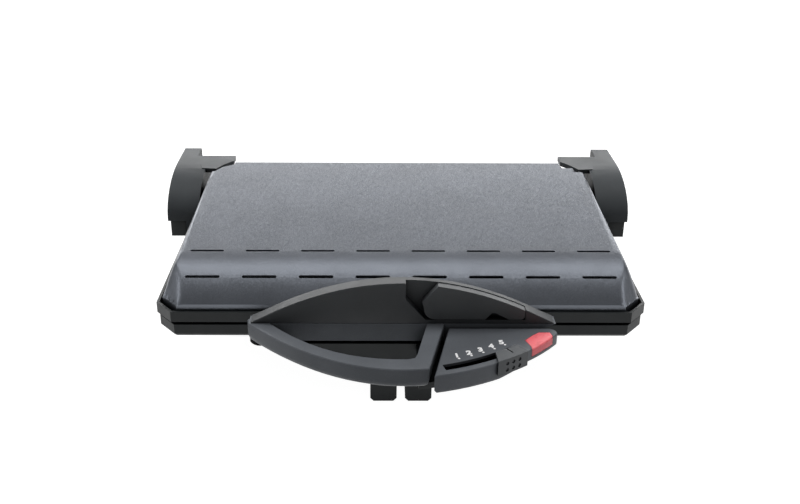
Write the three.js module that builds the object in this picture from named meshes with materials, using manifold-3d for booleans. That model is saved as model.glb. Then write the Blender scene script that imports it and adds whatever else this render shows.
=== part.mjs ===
// Contact grill: a ribbed plate in a low base, and a second one in a lid that floats up and
// opens flat. Millimetres, Z up, the handle points to -Y. Until the last lines, Y is measured
// from the front face of the two rims and X from the middle of the grill.
import * as THREE from 'three';
import { mergeVertices } from 'three/addons/utils/BufferGeometryUtils.js';
import Module from 'manifold-3d';

const wasm = await Module();
wasm.setup();

// Fits, cuts and smoothness
const seatGap = 0.3;
const overrun = 3;
const roundSteps = 20;
const arcSteps = 8;
const cornerSteps = 4;
const leastMitre = 0.5;
const pipeSides = 8;
const pipeSteps = 44;

// The two rims that meet at the parting gap
const rimHalfWidth = 184.4;
const rimDepth = 206;
const rimChamferX = 13.3;
const rimChamferY = 16;
const rimWall = 2.2;
const lowerRimInset = 1.9;
const lowerRimBottom = 51;
const lowerRimTop = 58.8;
const partingGap = 2.2;
const upperRimHeight = 8.4;

// Base tub below the lower rim
const coverHeight = 9;
const tubFoldShare = 0.95;
const tubShoulder = 2.4;
const tubWall = 2.6;
const tubFloorInsetFront = 74;
const tubFloorInsetSide = 30;
const tubFloorInsetRear = 12;
const tubFoldHeight = 5;
const ledgeHeight = 50;
const ledgeThickness = 2;
const ledgeWidth = 16;
const coverThickness = 2;
const ventSlotLength = 60;
const ventSlotWidth = 4;
const ventSlotPitch = 11;
const ventSlotRows = 7;

// Nose of the base, seen through the grip, and the console that carries the control panel
const noseReach = 28;
const noseBottom = 44;
const noseTipInset = 38;
const noseSlant = 16;
const consoleInset = 17;
const consoleBottom = 53.5;
const consoleLeftX = 10;
const legWidth = 20;
const legDepth = 22;
const legGap = 6.3;
const legSetback = 15.6;
const legCorner = 2.5;

// Feet and bottom screws
const footRadius = 9;
const footHeight = 8.7;
const footPadShare = 0.82;
const footInsetX = 67;
const footFrontY = 78;
const footRearInset = 22;
const screwRadius = 1.6;
const screwHeadRadius = 3.2;
const screwHeadHeight = 1.6;
const coverScrewInsetX = 46.5;
const coverScrewFrontY = 92;
const coverScrewRearInset = 26;
const coverScrewLength = 12;
const coverBossRadius = 4.5;
const slitWidth = 1;
const slitDepth = 0.8;

// Cooking plates
const plateInset = 12;
const plateThickness = 4;
const ribPitch = 10;
const ribBase = 5.4;
const ribTop = 3.4;
const ribHeight = 3;
const ribMargin = 14;
const plateMeetGap = 1;
const heaterRadius = 3.4;
const heaterSideInset = 54.5;
const heaterInset = 44;
const heaterPasses = 4;
const reflectorDrop = 13;
const reflectorWall = 0.8;
const reflectorSlope = 14;
const reflectorInset = 22;
const reflectorFlange = 8;
const clipWidth = 24;
const clipReach = 7;
const clipThickness = 1.2;

// Lid shell
const lidSideGap = 2;
const lidFrontGap = 1;
const lidSheet = 1.1;
const lidShoulderRise = 2.6;
const lidBackHeight = 115.2;
const lidBendHeight = 97.1;
const lidBendY = 49;
const lidNoseRise = 4.6;
const sideDraft = THREE.MathUtils.degToRad(19);
const cornerDraft = THREE.MathUtils.degToRad(34);
const rearDraft = THREE.MathUtils.degToRad(0.4);
const rearCornerDraft = THREE.MathUtils.degToRad(8);
const sideBlend = 8;
const rearBlend = 4;
const cornerBlend = 3;
const rearCutX = 22;
const rearCutY = 21;
const lidColumnShares = [0, 0.014, 0.028, 0.04, 0.049, 0.058, 0.067, 0.076, 0.086, 0.1, 0.13, 0.19];
const lidInnerColumnShares = [0, 0.02, 0.045, 0.07, 0.1];
const lidNoseSteps = 13;
const lidInnerNoseSteps = 6;
const lidRowShares = [0.4, 0.8, 0.88, 0.93, 0.97, 0.993, 1];
const lidInnerRowShares = [0.5, 0.88, 0.985, 1];
const slotCount = 8;
const slotPitch = 42.7;
const slotLength = 26.2;
const slotWidth = 2.3;
const upperSlotY = 49;
const lowerSlotY = 21.5;

// Handle: grip, upright fin and folding stand
const handleHalfWidth = 110;
const gripReach = 91;
const gripTop = 75.4;
const gripThickness = 15.4;
const gripBand = 13.4;
const gripHolePower = 2.3;
const gripRound = 6;
const gripEdge = 0.6;
const gripEndTaper = 4;
const gripEndBulge = 1;
const gripRoundShares = [
  { inset: 1, rise: 0 },
  { inset: 0.55, rise: 0.12 },
  { inset: 0.2, rise: 0.42 },
  { inset: 0, rise: 1 },
];
const spokeLeftX = 17.7;
const spokeWidth = 12;
const spokeSkew = 13.4;
const spokeLeftSkew = 8.4;
const holeCorner = 7;
const finThickness = 11.5;
const finHeight = 31.6;
const finEdge = 0.5;
const finEndInset = 2;
const tongueThickness = 3;
const tongueInset = 6;
const tongueReach = 14;
const handleScrewInset = 16;
const handleScrewLength = 10;
const standPivotX = 23.3;
const standPivotRise = 11.4;
const standTipInset = 23;
const standThickness = 6.2;
const standHeel = 8.1;
const standFaceOffset = 10.6;
const standFaceAngle = THREE.MathUtils.degToRad(49.8);
const standOpening = THREE.MathUtils.degToRad(81);
const standCorner = 3;
const standNotchInset = 19.7;
const standNotchRiseShare = 0.28;
const standNotchTopShare = 0.42;
const standNotchWidth = 17;
const standNotchHeight = 5.2;
const standGap = 0.45;
const standPinRadius = 2.4;
const standPinHead = 4.4;
const standPinHeadThickness = 1.6;
const standPinCover = 1.6;

// Control panel on the right half of the handle, with its curved slider slot
const panelTop = 73.5;
const panelThickness = 15;
const panelWall = 2.2;
const panelRearGap = 3;
const panelSpokeGap = 3.2;
const panelArcX = -15.2;
const panelArcY = 58.3;
const panelRadius = 158;
const panelRound = 4;
const panelRoundShare = 0.3;
const panelEdge = 0.7;
const panelEndRadius = 6;
const undersideRise = 7;
const undersideStartInset = 43;
const undersideEndInset = 19;
const slotFrontLand = 5.4;
const sliderSlotWidth = 7;
const sliderSlotStart = THREE.MathUtils.degToRad(16.2);
const sliderSlotEnd = THREE.MathUtils.degToRad(38.2);
const regulatorStart = THREE.MathUtils.degToRad(20);
const regulatorEnd = THREE.MathUtils.degToRad(29.5);
const sliderRest = THREE.MathUtils.degToRad(35);
const knobLength = 18.9;
const knobTaper = 6;
const knobRise = 2.2;
const knobOverhang = 1.8;
const knobSkirt = 11.5;
const knobBack = 0.6;
const grooveLand = 4.6;
const dimpleRadius = 1.5;
const dimplePitch = 5.4;
const dimpleRowPitch = 4.8;
const dimpleDepth = 0.8;
const carriageLength = 14;
const carriageHeight = 2.6;
const carriageLap = 1.5;
const regulatorHeight = 3.2;
const regulatorMargin = 3.4;
const lensEndInset = 4.3;
const lensWidth = 20;
const lensRearInset = 6.2;
const lensDrop = 5.6;
const lensPlanShares = [
  { along: 1, back: 0.2 },
  { along: 0.95, back: 0 },
  { along: 0.55, back: 0 },
  { along: 0.3, back: 0.22 },
  { along: 0, back: 0.55 },
  { along: 0.16, back: 1 },
];
const lensThickness = 3.2;
const lampRadius = 3;
const lampSetback = 6;
const lampLength = 1.9;

// Hinge arms, rear axis and floating bearing blocks
const armWidth = 15.6;
const armReachIn = 11.9;
const armReachFront = 58;
const armReachRear = 44;
const armTop = 112.5;
const armShoulder = 83;
const armBottom = 65;
const armSkin = 1.5;
const armCoverBottom = 80;
const armLidGap = 0.6;
const hingeSetback = 24;
const armLugRadius = 19.5;
const armRearChamfer = 1.5;
const wingTipInset = 34.9;
const wingBackReach = 21;
const wingThickness = 4;
const wingFrontReach = 7;
const wingWaistInset = 21.9;
const wingWaistSetback = 14;
const shaftRadius = 4;
const shaftClearance = 0.3;
const bracketWidth = 12;
const bracketGap = 2;
const bracketRoomRadius = 24;
const bracketFloor = 20;
const bracketNeck = 17;
const bracketCrown = 4;
const bracketElbow = 8;
const blockHalfDepth = 6;
const blockHalfHeight = 6.5;
const floatTravel = 10;
const bossDepth = 20;
const bossFloor = 23;
const baseRearCorner = 3.5;
const bracketScrewRise = 13;
const bracketScrewPitch = 17;
const bracketScrewLength = 9;
const armScrewLength = 10;
const armScrewPitch = 26;
const armScrewSetback = 18;

// Cord inlet and terminal block at the rear of the base
const inletInsetX = 64.5;
const inletHeight = 28;
const inletRadius = 7;
const inletFlangeRadius = 9.5;
const inletFlange = 2;
const inletReach = 9;
const inletBore = 3.6;
const terminalWidth = 30;
const terminalDepth = 18;
const terminalHeight = 12;

// Heights and places that follow from the sizes above
const upperRimBottom = lowerRimTop + partingGap;
const upperRimTop = upperRimBottom + upperRimHeight;
const baseHalfWidth = rimHalfWidth - lowerRimInset;
const footX = baseHalfWidth - footInsetX;
const footRearY = rimDepth - footRearInset;
const coverScrewX = baseHalfWidth - coverScrewInsetX;
const coverScrewRearY = rimDepth - coverScrewRearInset;
const inletX = baseHalfWidth - inletInsetX;
const noseTipHalfWidth = handleHalfWidth - noseTipInset;
const noseRootHalfWidth = noseTipHalfWidth + noseSlant;
const tongueHalfWidth = noseTipHalfWidth - tongueInset;
const handleScrewX = tongueHalfWidth - handleScrewInset;
const heaterHalfWidth = baseHalfWidth - heaterSideInset;
const heaterRearY = rimDepth - heaterInset;
const ribCount = 2 * Math.floor((baseHalfWidth - plateInset - ribMargin) / ribPitch) + 1;
const gripBottom = gripTop - gripThickness;
const noseTop = lowerRimTop;
const finFrontY = -noseReach;
const finRearY = finFrontY + finThickness;
const finBottom = gripTop + seatGap;
const finTop = gripTop + finHeight;
const panelBottom = panelTop - panelThickness;
const panelRearY = finFrontY - panelRearGap;
const panelEndY = panelRearY - panelEndRadius;
const panelEndX = panelArcX + Math.sqrt((panelRadius - panelEndRadius) ** 2 - (panelArcY - panelEndY) ** 2);
const panelFootX = spokeLeftX + spokeWidth - spokeSkew + panelSpokeGap;
const panelReach = Math.sqrt(panelRadius ** 2 - (panelFootX - panelArcX) ** 2) - panelArcY;
const sliderRadius = panelRadius - slotFrontLand - sliderSlotWidth / 2;
const lensRightX = panelEndX + panelEndRadius - lensEndInset;
const lensRearY = panelRearY - lensRearInset;
const standPivotZ = gripTop + standPivotRise;
const standLength = handleHalfWidth - standPivotX - standTipInset;
const standTipHeight = standPivotZ + standLength * Math.sin(standOpening);
const hingeZ = standTipHeight / 2;
const lidHalfWidth = rimHalfWidth - rimWall - lidSideGap;
const lidFrontY = rimWall + lidFrontGap;
const lidRearY = rimDepth - rimWall - lidFrontGap;
const lidBottom = upperRimBottom + ledgeThickness + seatGap;
const lidShoulder = upperRimTop + lidShoulderRise;
const lidSlope = Math.atan((lidBackHeight - lidBendHeight) / (lidRearY - lidBendY));
const lowerPlateBottom = ledgeHeight + ledgeThickness + seatGap;
const lowerRibTop = lowerPlateBottom + plateThickness + ribHeight;
const upperRibTop = lowerRibTop + plateMeetGap;
const upperPlateBottom = upperRibTop + ribHeight;
const armOuterX = rimHalfWidth + armWidth;
const armInnerX = rimHalfWidth - armReachIn;
const armCoreX = rimHalfWidth + seatGap;
const armKneeHeight = lidShoulder + (lidHalfWidth + armLidGap - armInnerX) / Math.tan(sideDraft);
const armFrontY = rimDepth - armReachFront;
const armRearY = rimDepth + armReachRear;
const armScrewY = armFrontY + armScrewSetback;
const hingeY = rimDepth + hingeSetback;
const wingBackY = rimDepth + wingBackReach;
const bracketOuterX = rimHalfWidth - bracketGap;
const bracketInnerX = bracketOuterX - bracketWidth;
const originY = (panelReach - armRearY) / 2;

// Points, outlines and solids
const point = (x, y) => new THREE.Vector2(x, y);

function toSolid(geometry) {
  const bare = geometry.index ? geometry.toNonIndexed() : geometry.clone();
  bare.deleteAttribute('normal');
  bare.deleteAttribute('uv');
  const merged = mergeVertices(bare);
  const vertProperties = new Float32Array(merged.attributes.position.array);
  const triVerts = new Uint32Array(merged.index.array);
  return new wasm.Manifold(new wasm.Mesh({ numProp: 3, vertProperties, triVerts }));
}

function toGeometry(solid) {
  const mesh = solid.getMesh();
  const geometry = new THREE.BufferGeometry();
  geometry.setAttribute('position', new THREE.BufferAttribute(mesh.vertProperties, 3));
  geometry.setIndex(new THREE.BufferAttribute(mesh.triVerts, 1));
  geometry.computeVertexNormals();
  return geometry;
}

const join = (first, ...others) => others.reduce((sum, other) => sum.add(other), first);
const cut = (first, ...others) => others.reduce((rest, other) => rest.subtract(other), first);

function box(x0, x1, y0, y1, z0, z1) {
  const geometry = new THREE.BoxGeometry(x1 - x0, y1 - y0, z1 - z0);
  geometry.translate((x0 + x1) / 2, (y0 + y1) / 2, (z0 + z1) / 2);
  return toSolid(geometry);
}

function extrude(outline, depth) {
  const shape = new THREE.Shape(outline);
  return new THREE.ExtrudeGeometry(shape, { depth, bevelEnabled: false, steps: 1 });
}

// A plan outline raised from z0 to z1
function prismUp(outline, z0, z1) {
  const geometry = extrude(outline, z1 - z0);
  geometry.translate(0, 0, z0);
  return toSolid(geometry);
}

// A side outline in (Y, Z) drawn from x0 to x1
function prismAcross(outline, x0, x1) {
  const geometry = extrude(outline, x1 - x0);
  const turn = new THREE.Matrix4();
  turn.makeBasis(new THREE.Vector3(0, 1, 0), new THREE.Vector3(0, 0, 1), new THREE.Vector3(1, 0, 0));
  geometry.applyMatrix4(turn);
  geometry.translate(x0, 0, 0);
  return toSolid(geometry);
}

// A front outline in (X, Z) drawn from y0 back to y1
function prismBack(outline, y0, y1) {
  const geometry = extrude(outline, y1 - y0);
  geometry.rotateX(Math.PI / 2);
  geometry.translate(0, y1, 0);
  return toSolid(geometry);
}

function cylinderUp(x, y, radius, z0, z1, steps = roundSteps) {
  const geometry = new THREE.CylinderGeometry(radius, radius, z1 - z0, steps);
  geometry.rotateX(Math.PI / 2);
  geometry.translate(x, y, (z0 + z1) / 2);
  return toSolid(geometry);
}

function cylinderAcross(y, z, radius, x0, x1, steps = roundSteps) {
  const geometry = new THREE.CylinderGeometry(radius, radius, x1 - x0, steps);
  geometry.rotateZ(Math.PI / 2);
  geometry.translate((x0 + x1) / 2, y, z);
  return toSolid(geometry);
}

function cylinderBack(x, z, radius, y0, y1, steps = roundSteps) {
  const geometry = new THREE.CylinderGeometry(radius, radius, y1 - y0, steps);
  geometry.translate(x, (y0 + y1) / 2, z);
  return toSolid(geometry);
}

// Outlines of equal point counts stacked at rising heights
function loft(sections) {
  const count = sections[0].outline.length;
  const positions = [];
  const index = [];
  for (const section of sections) {
    for (const p of section.outline) {
      positions.push(p.x, p.y, section.z);
    }
  }
  for (let level = 0; level + 1 < sections.length; level += 1) {
    for (let i = 0; i < count; i += 1) {
      const next = (i + 1) % count;
      const a = level * count + i;
      const b = level * count + next;
      index.push(a, b, b + count);
      index.push(a, b + count, a + count);
    }
  }
  const top = (sections.length - 1) * count;
  for (const [a, b, c] of THREE.ShapeUtils.triangulateShape(sections[0].outline, [])) {
    index.push(a, c, b);
  }
  for (const [a, b, c] of THREE.ShapeUtils.triangulateShape(sections.at(-1).outline, [])) {
    index.push(top + a, top + b, top + c);
  }
  const geometry = new THREE.BufferGeometry();
  geometry.setAttribute('position', new THREE.Float32BufferAttribute(positions, 3));
  geometry.setIndex(index);
  return toSolid(geometry);
}

// The same outline moved inwards by a distance, for outlines that run anticlockwise
function inset(outline, distance) {
  const count = outline.length;
  return outline.map((p, i) => {
    const before = outline[(i + count - 1) % count];
    const after = outline[(i + 1) % count];
    const u = point(p.x - before.x, p.y - before.y).normalize();
    const v = point(after.x - p.x, after.y - p.y).normalize();
    const bisector = point(-u.y - v.y, u.x + v.x).normalize();
    const stretch = distance / Math.max(bisector.dot(point(-u.y, u.x)), leastMitre);
    return point(p.x + bisector.x * stretch, p.y + bisector.y * stretch);
  });
}

function arc(x, y, radius, from, to, steps = arcSteps) {
  const points = [];
  for (let i = 0; i <= steps; i += 1) {
    const angle = from + (to - from) * i / steps;
    points.push(point(x + radius * Math.cos(angle), y + radius * Math.sin(angle)));
  }
  return points;
}

// A rectangle in plan with its four corners cut off
function rimOutline(halfWidth, frontY, rearY, chamferX, chamferY, rearX = chamferX, rearZ = chamferY) {
  return [
    point(halfWidth - chamferX, frontY),
    point(halfWidth, frontY + chamferY),
    point(halfWidth, rearY - rearZ),
    point(halfWidth - rearX, rearY),
    point(rearX - halfWidth, rearY),
    point(-halfWidth, rearY - rearZ),
    point(-halfWidth, frontY + chamferY),
    point(chamferX - halfWidth, frontY),
  ];
}

function mirror(solid) {
  return solid.mirror([1, 0, 0]);
}

// Materials
function material(color, roughness, metalness) {
  return new THREE.MeshStandardMaterial({ color, roughness, metalness });
}

const shellPaint = () => material(0x6e7178, 0.42, 0.55);
const darkPlastic = () => material(0x34373a, 0.5, 0.0);
const greyPlastic = () => material(0x5c6066, 0.45, 0.0);
const blackRubber = () => material(0x17181a, 0.85, 0.0);
const coatedAluminium = () => material(0x26272a, 0.4, 0.3);
const steel = () => material(0xa9adb2, 0.35, 0.9);
const zinc = () => material(0x8f9398, 0.4, 0.85);
const redLens = () => material(0xd83640, 0.2, 0.0);
const paleCeramic = () => material(0xd8d4c8, 0.6, 0.0);
const innerPlastic = () => material(0xb9b4a4, 0.6, 0.0);

const grill = new THREE.Group();
grill.name = 'contact_grill';

function addPart(name, solid, finish) {
  const mesh = new THREE.Mesh(toGeometry(solid), finish);
  mesh.name = name;
  grill.add(mesh);
}

// A pan-head screw standing along Z, its head at the bottom
function screwUp(x, y, headZ, length) {
  const shank = cylinderUp(x, y, screwRadius, headZ, headZ + length, pipeSides);
  const head = cylinderUp(x, y, screwHeadRadius, headZ, headZ + screwHeadHeight, roundSteps);
  const slit = box(
    x - screwHeadRadius - overrun, x + screwHeadRadius + overrun,
    y - slitWidth / 2, y + slitWidth / 2,
    headZ - overrun, headZ + slitDepth,
  );
  return cut(join(shank, head), slit);
}

// The clearance hole and head pocket for such a screw
function screwUpHole(x, y, headZ, length) {
  const hole = cylinderUp(x, y, screwRadius + seatGap, headZ - overrun, headZ + length + seatGap, pipeSides);
  const pocket = cylinderUp(
    x, y, screwHeadRadius + seatGap, headZ - overrun, headZ + screwHeadHeight + seatGap, roundSteps,
  );
  return join(hole, pocket);
}

// Base housing: the rim, the sloping tub, the ledge for the plate, the nose and the console
function tubSections(wall) {
  const rim = (gap) => rimOutline(
    baseHalfWidth - gap, gap, rimDepth - gap, rimChamferX - gap / 2, rimChamferY - gap / 2,
    baseRearCorner, baseRearCorner,
  );
  const floor = (gap, share) => rimOutline(
    baseHalfWidth - tubFloorInsetSide * share - gap,
    tubFloorInsetFront * share + gap,
    rimDepth - tubFloorInsetRear * share - gap,
    rimChamferX,
    rimChamferY,
  );
  const top = wall ? overrun : 0;
  return [
    { outline: floor(wall, 1), z: coverHeight - top },
    { outline: floor(wall, 1), z: coverHeight },
    { outline: floor(wall, tubFoldShare), z: coverHeight + tubFoldHeight },
    { outline: rim(tubShoulder + wall), z: lowerRimBottom - tubShoulder },
    { outline: rim(wall), z: lowerRimBottom },
    { outline: rim(wall), z: lowerRimTop + top },
  ].slice(wall ? 0 : 1);
}

// Plan of the console, a piece of the panel's own round front set further in
function consoleOutline() {
  const radius = panelRadius - consoleInset;
  const rightX = panelEndX - undersideStartInset;
  const start = Math.asin((consoleLeftX - panelArcX) / radius) - Math.PI / 2;
  const end = Math.asin((rightX - panelArcX) / radius) - Math.PI / 2;
  return [
    ...arc(panelArcX, panelArcY, radius, start, end),
    point(rightX, finFrontY + overrun),
    point(consoleLeftX, finFrontY + overrun),
  ];
}

function baseHousing() {
  const nose = prismUp([
    point(-noseRootHalfWidth, tubShoulder),
    point(-noseTipHalfWidth, -noseReach),
    point(noseTipHalfWidth, -noseReach),
    point(noseRootHalfWidth, tubShoulder),
  ], noseBottom, noseTop);
  const console = prismUp(consoleOutline(), consoleBottom, panelBottom - seatGap);
  const noseHollow = prismUp([
    point(-noseRootHalfWidth + tubWall, overrun + tubShoulder + tubWall),
    point(-noseTipHalfWidth + tubWall, tubWall - noseReach),
    point(noseTipHalfWidth - tubWall, tubWall - noseReach),
    point(noseRootHalfWidth - tubWall, overrun + tubShoulder + tubWall),
  ], noseBottom + tubWall, noseTop - tubWall);
  const plateSeat = rimOutline(
    baseHalfWidth - tubShoulder - ledgeWidth, tubShoulder + ledgeWidth,
    rimDepth - tubShoulder - ledgeWidth, rimChamferX, rimChamferY,
  );
  const ledge = cut(
    prismUp(
      rimOutline(
        baseHalfWidth - tubShoulder, tubShoulder, rimDepth - tubShoulder, rimChamferX, rimChamferY,
      ),
      ledgeHeight, ledgeHeight + ledgeThickness,
    ),
    prismUp(plateSeat, ledgeHeight - overrun, ledgeHeight + ledgeThickness + overrun),
  );
  const shell = cut(loft(tubSections(0)), loft(tubSections(tubWall)));
  const inletHole = cylinderBack(
    inletX, inletHeight, inletRadius + seatGap, rimDepth - terminalDepth - overrun, rimDepth + overrun,
  );
  const coverSeat = prismUp(
    inset(coverOutline(), -seatGap), coverHeight - overrun, coverHeight + coverThickness + seatGap,
  );
  const bosses = coverScrewPlaces().map(([x, y]) => coverBoss(x, y));
  const holes = coverScrewPlaces().map(([x, y]) => screwUpHole(x, y, coverHeight, coverScrewLength));
  bosses.push(bracketBoss(), mirror(bracketBoss()));
  const whole = join(cut(join(shell, nose), noseHollow), ledge, console, ...bosses);
  return cut(whole, inletHole, coverSeat, ...holes, ...bracketScrewHoles());
}

// Screw bosses that run from the bottom cover up into the sloping wall or rear corner
function coverScrewPlaces() {
  return [
    [-coverScrewX, coverScrewFrontY],
    [coverScrewX, coverScrewFrontY],
    [-coverScrewX, coverScrewRearY],
    [coverScrewX, coverScrewRearY],
  ];
}

function coverBoss(x, y) {
  const top = coverHeight + coverThickness + seatGap + coverScrewLength;
  const floor = coverHeight + coverThickness + seatGap;
  const post = cylinderUp(x, y, coverBossRadius, floor, top, roundSteps);
  const side = Math.sign(x);
  const wallX = side * (baseHalfWidth - tubFloorInsetSide);
  const web = box(
    Math.min(x, wallX), Math.max(x, wallX), y - slitWidth, y + slitWidth, floor, top,
  );
  return join(post, web);
}

function coverOutline() {
  return rimOutline(
    baseHalfWidth - tubFloorInsetSide - tubWall - seatGap,
    tubFloorInsetFront + tubWall + seatGap,
    rimDepth - tubFloorInsetRear - tubWall - seatGap,
    rimChamferX,
    rimChamferY,
  );
}

// Solid block in a rear corner that the hinge bracket is screwed to
function bracketBoss() {
  const outline = [
    point(rimDepth, bossFloor),
    point(rimDepth, ledgeHeight + ledgeThickness),
    point(rimDepth - bossDepth, ledgeHeight + ledgeThickness),
    point(rimDepth - bossDepth, bossFloor + bossDepth / 2),
    point(rimDepth - bossDepth / 2, bossFloor),
  ];
  return prismAcross(outline, bracketInnerX - tubWall, baseHalfWidth - baseRearCorner);
}

function bottomCover() {
  const sheet = prismUp(coverOutline(), coverHeight, coverHeight + coverThickness);
  const vents = [];
  const middleY = (footFrontY + footRearY) / 2;
  for (let row = 0; row < ventSlotRows; row += 1) {
    const y = middleY + (row - (ventSlotRows - 1) / 2) * ventSlotPitch;
    vents.push(box(
      -ventSlotLength / 2, ventSlotLength / 2, y - ventSlotWidth / 2, y + ventSlotWidth / 2,
      coverHeight - overrun, coverHeight + coverThickness + overrun,
    ));
  }
  const holes = coverScrewPlaces().map(([x, y]) => screwUpHole(x, y, coverHeight, coverScrewLength));
  return cut(sheet, ...vents, ...holes);
}

function rubberFoot() {
  const padRadius = footRadius * footPadShare;
  const profile = [
    point(0, 0),
    point(padRadius, 0),
    point(footRadius, footRadius - padRadius),
    point(footRadius, footHeight),
    point(0, footHeight),
  ];
  const geometry = new THREE.LatheGeometry(profile, roundSteps);
  geometry.rotateX(Math.PI / 2);
  return toSolid(geometry);
}

function frontLeg(side) {
  const innerX = legGap / 2;
  const frontY = legSetback - noseReach;
  const outline = [
    point(innerX, legCorner),
    point(innerX + legCorner, 0),
    point(innerX + legWidth - legCorner, 0),
    point(innerX + legWidth, legCorner),
    point(innerX + legWidth, noseBottom - seatGap),
    point(innerX, noseBottom - seatGap),
  ];
  const leg = prismBack(outline, frontY, frontY + legDepth);
  return side < 0 ? mirror(leg) : leg;
}

// Cooking plates: a slab with a raised border and straight ribs that run front to back
function plateOutline(extra) {
  return rimOutline(
    baseHalfWidth - plateInset - extra, plateInset + extra, rimDepth - plateInset - extra,
    rimChamferX, rimChamferY,
  );
}

function ribComb(baseZ, up) {
  const outline = [];
  const first = -(ribCount - 1) / 2 * ribPitch;
  for (let i = 0; i < ribCount; i += 1) {
    const x = first + i * ribPitch;
    outline.push(point(x - ribBase / 2, baseZ));
    outline.push(point(x - ribTop / 2, baseZ + up * ribHeight));
    outline.push(point(x + ribTop / 2, baseZ + up * ribHeight));
    outline.push(point(x + ribBase / 2, baseZ));
  }
  const last = first + (ribCount - 1) * ribPitch + ribBase / 2;
  outline.push(point(last, baseZ - up * plateThickness / 2));
  outline.push(point(first - ribBase / 2, baseZ - up * plateThickness / 2));
  if (up > 0) {
    outline.reverse();
  }
  return outline;
}

function cookingPlate(slabZ, up) {
  const slab = prismUp(plateOutline(0), Math.min(slabZ, slabZ + up * plateThickness),
    Math.max(slabZ, slabZ + up * plateThickness));
  const surface = slabZ + up * plateThickness;
  const ribs = prismBack(
    ribComb(surface, up), plateInset + ribMargin, rimDepth - plateInset - ribMargin,
  );
  const border = cut(
    prismUp(plateOutline(0), Math.min(surface, surface + up * ribHeight / 2),
      Math.max(surface, surface + up * ribHeight / 2)),
    prismUp(plateOutline(ribTop), surface - ribHeight, surface + ribHeight),
  );
  return join(slab, ribs, border);
}

// Heating rod bent to and fro under its plate
function heater(z) {
  const points = [];
  const pitch = (heaterRearY - heaterInset) / (heaterPasses - 1);
  for (let pass = 0; pass < heaterPasses; pass += 1) {
    const y = heaterInset + pass * pitch;
    const side = pass % 2 ? 1 : -1;
    const run = heaterHalfWidth - pitch / 2;
    points.push(new THREE.Vector3(side * run, y, z));
    points.push(new THREE.Vector3(0, y, z));
    points.push(new THREE.Vector3(-side * run, y, z));
    if (pass + 1 < heaterPasses) {
      points.push(new THREE.Vector3(-side * heaterHalfWidth, y + pitch / 2, z));
    }
  }
  const path = new THREE.CatmullRomCurve3(points, false, 'centripetal');
  const section = new THREE.Shape(arc(0, 0, heaterRadius, 0, 2 * Math.PI, pipeSides).slice(0, pipeSides));
  const geometry = new THREE.ExtrudeGeometry(section, {
    steps: pipeSteps, extrudePath: path, bevelEnabled: false,
  });
  return toSolid(geometry);
}

// Pressed reflector tray hung below the ledge (or above it, in the lid)
function reflector(rimZ, up) {
  const wide = (extra) => rimOutline(
    baseHalfWidth - reflectorInset - extra, reflectorInset + extra,
    rimDepth - reflectorInset - extra, rimChamferX, rimChamferY,
  );
  const deepZ = rimZ + up * reflectorDrop;
  const levels = [
    { outline: wide(reflectorSlope), z: deepZ },
    { outline: wide(0), z: rimZ },
  ];
  const hollow = [
    { outline: wide(reflectorSlope + reflectorWall), z: deepZ - up * reflectorWall },
    { outline: wide(reflectorWall), z: rimZ },
    { outline: wide(reflectorWall), z: rimZ - up * overrun },
  ];
  if (up > 0) {
    levels.reverse();
    hollow.reverse();
  }
  const flangeZ = rimZ + up * reflectorWall;
  const flange = cut(
    prismUp(wide(-reflectorFlange), Math.min(rimZ, flangeZ), Math.max(rimZ, flangeZ)),
    prismUp(wide(reflectorWall / 2), rimZ - overrun, rimZ + overrun),
  );
  return join(cut(loft(levels), loft(hollow)), flange);
}

// Lid shell: a sheet whose height is the lowest of its smoothly blended faces
function blendMin(a, b, width) {
  const overlap = Math.max(width - Math.abs(a - b), 0);
  return Math.min(a, b) - overlap * overlap / (4 * width);
}

function lidProfile(y) {
  const flat = (at) => lidBackHeight - Math.tan(lidSlope) * (lidRearY - at);
  if (y >= lidBendY) {
    return flat(y);
  }
  const noseZ = upperRimTop + lidNoseRise;
  const dy = lidFrontY - lidBendY;
  const dz = noseZ - flat(lidBendY);
  const away = Math.abs(-Math.cos(lidSlope) * dz + Math.sin(lidSlope) * dy);
  const radius = (dy * dy + dz * dz) / (2 * away);
  const centreY = lidBendY + radius * Math.sin(lidSlope);
  const centreZ = flat(lidBendY) - radius * Math.cos(lidSlope);
  return centreZ + Math.sqrt(Math.max(radius * radius - (y - centreY) ** 2, 0));
}

// Distance of a plan point inside the line through a and b, the grill on its left
function insideLine(x, y, a, b) {
  const direction = point(b.x - a.x, b.y - a.y).normalize();
  return direction.x * (y - a.y) - direction.y * (x - a.x);
}

function lidOutline(gap) {
  return rimOutline(
    lidHalfWidth - gap, lidFrontY + gap, lidRearY - gap,
    rimChamferX - gap / 2, rimChamferY - gap / 2, rearCutX, rearCutY,
  );
}

function lidHeight(x, y, gap) {
  const corners = lidOutline(gap);
  const ax = Math.abs(x);
  const rise = (distance, draft) => lidShoulder + distance / Math.tan(draft);
  const top = lidProfile(y) - gap;
  const side = rise(lidHalfWidth - gap - ax, sideDraft);
  const rear = rise(lidRearY - gap - y, rearDraft);
  const corner = rise(insideLine(ax, y, corners[0], corners[1]), cornerDraft);
  const rearCorner = rise(insideLine(ax, y, corners[2], corners[3]), rearCornerDraft);
  const blended = blendMin(blendMin(top, side, sideBlend), rear, rearBlend);
  return blendMin(blendMin(blended, rearCorner, sideBlend), corner, cornerBlend);
}

// Grid lines, close together where the lid bends
function lidColumns(gap, fine) {
  const half = lidHalfWidth - gap;
  const shares = fine ? lidColumnShares : lidInnerColumnShares;
  const right = shares.map((share) => half * (1 - share));
  return [...right.map((x) => -x), ...right.reverse()];
}

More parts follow.
